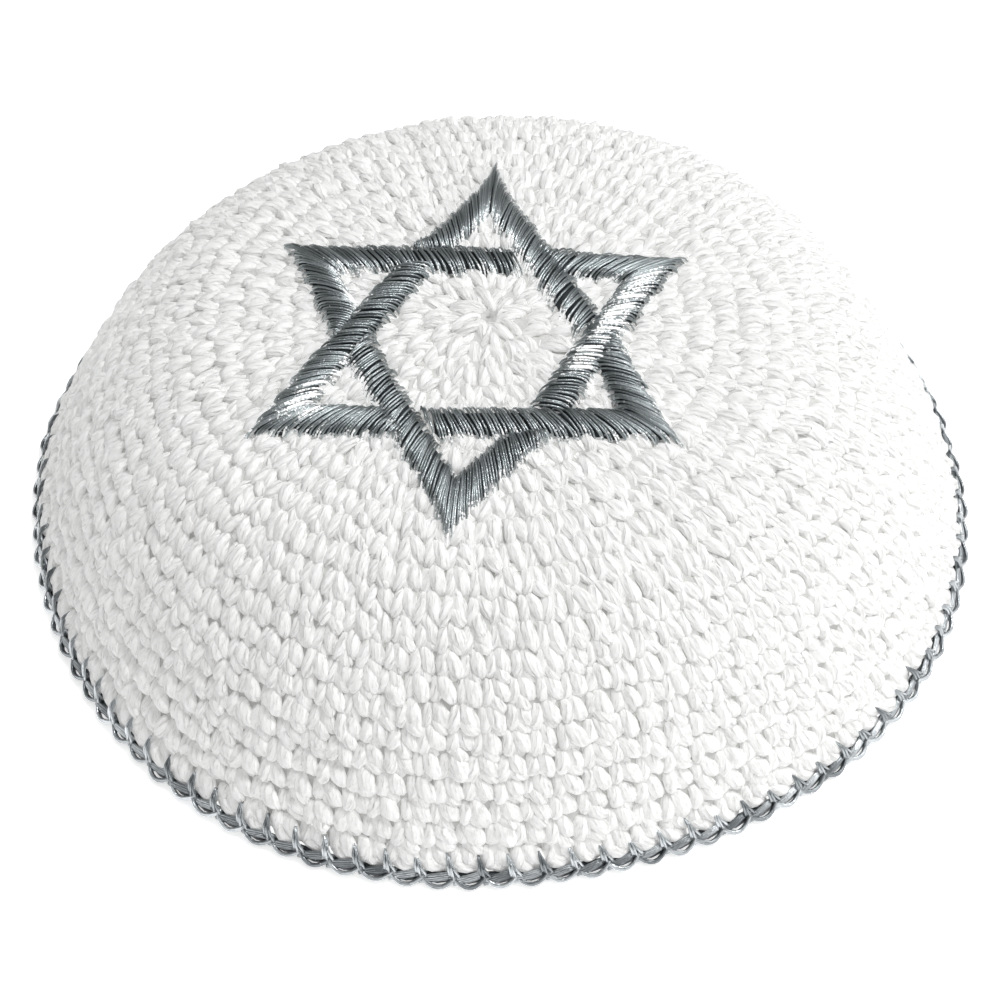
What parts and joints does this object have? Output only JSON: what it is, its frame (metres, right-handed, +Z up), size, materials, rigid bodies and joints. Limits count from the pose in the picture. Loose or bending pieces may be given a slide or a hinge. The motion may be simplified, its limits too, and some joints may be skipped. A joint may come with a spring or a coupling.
{
  "type": "kippah skullcap",
  "caption": "Shallow round crocheted skullcap with an embroidered interlaced six-pointed star and a crocheted metallic edging, worn on the crown of the head.",
  "frame": {"origin": "on the floor, under the middle of the box round the rim", "axes": "+Z up out of the crown; -Y is the side towards the viewer in the picture and +X its right"},
  "size_m": [0.1738, 0.1646, 0.0497],
  "materials": {
    "white_cotton": "matte plied cotton yarn, single crochet",
    "silver_thread": "silver-grey metallic thread, glinting"
  },
  "bodies": {
    "root": {"crown": "white_cotton", "edging": "silver_thread", "star_strand_1": "silver_thread", "star_strand_2": "silver_thread", "star_strand_3": "silver_thread", "star_strand_4": "silver_thread", "star_strand_5": "silver_thread", "star_strand_6": "silver_thread"}
  },
  "joints": []
}
